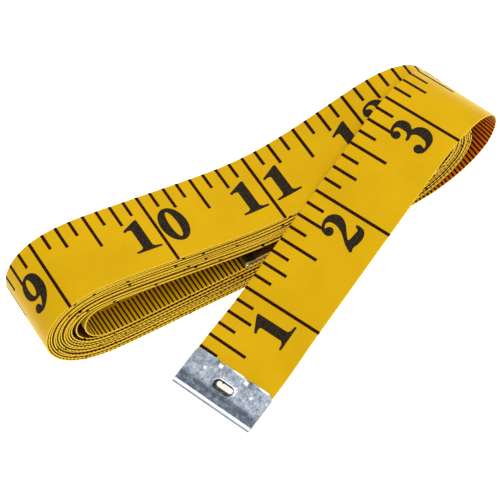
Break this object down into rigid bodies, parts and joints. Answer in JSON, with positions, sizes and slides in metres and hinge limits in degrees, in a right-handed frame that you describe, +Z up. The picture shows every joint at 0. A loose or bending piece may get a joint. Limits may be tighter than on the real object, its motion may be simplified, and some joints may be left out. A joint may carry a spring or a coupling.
{
  "type": "soft tape measure",
  "caption": "Soft dressmaker's tape measure, 3 m, wound in a flattened oval coil with its metal-tipped zero end led back over the top to the table",
  "frame": {"origin": "on the coil's flat underside, midway across the tape's width", "axes": "+X along the coil towards the loop where the tail turns over, +Z up, -Y the side the tail comes off"},
  "size_m": [0.1086, 0.0532, 0.0259],
  "materials": {
    "tape": "vinyl-coated glass cloth, satin, fine weave",
    "ferrule": "tinned sheet, worn, lightly scratched"
  },
  "bodies": {
    "coil": {"tape_coil": "tape", "ferrule_inner_end": "ferrule"},
    "loop_low": {"tape_loop_low": "tape"},
    "loop_high": {"tape_loop_high": "tape"},
    "tail_upper": {"tape_tail_upper": "tape"},
    "tail_lower": {"tape_tail_lower": "tape"},
    "tip": {"tape_tip": "tape", "ferrule_zero_end": "ferrule"}
  },
  "joints": [
    {"name": "loop_low_bend", "type": "hinge", "parent": "coil", "child": "loop_low", "pos_m": [0.05536, 0, 0.00394], "axis": [-0.0079, 0.9999, 0.0154], "range_deg": [0, 60]},
    {"name": "loop_high_bend", "type": "hinge", "parent": "loop_low", "child": "loop_high", "pos_m": [0.06166, -0.00059, 0.01428], "axis": [-0.2618, 0.9547, 0.1412], "range_deg": [0, 60]},
    {"name": "tail_root_bend", "type": "hinge", "parent": "loop_high", "child": "tail_upper", "pos_m": [0.05534, -0.00433, 0.02382], "axis": [-0.3916, 0.9161, 0.0858], "range_deg": [0, 60]},
    {"name": "tail_middle_bend", "type": "hinge", "parent": "tail_upper", "child": "tail_lower", "pos_m": [0.01922, -0.01902, 0.01581], "axis": [-0.3916, 0.9161, 0.0858], "range_deg": [0, 80]},
    {"name": "tip_bend", "type": "hinge", "parent": "tail_lower", "child": "tip", "pos_m": [-0.00211, -0.02741, 0.00806], "axis": [-0.397, 0.9117, 0.1055], "range_deg": [0, 60]}
  ],
  "couplings": [
    {"joint": "loop_high_bend", "follows": "loop_low_bend", "ratio": 1},
    {"joint": "tail_root_bend", "follows": "loop_low_bend", "ratio": 1}
  ]
}
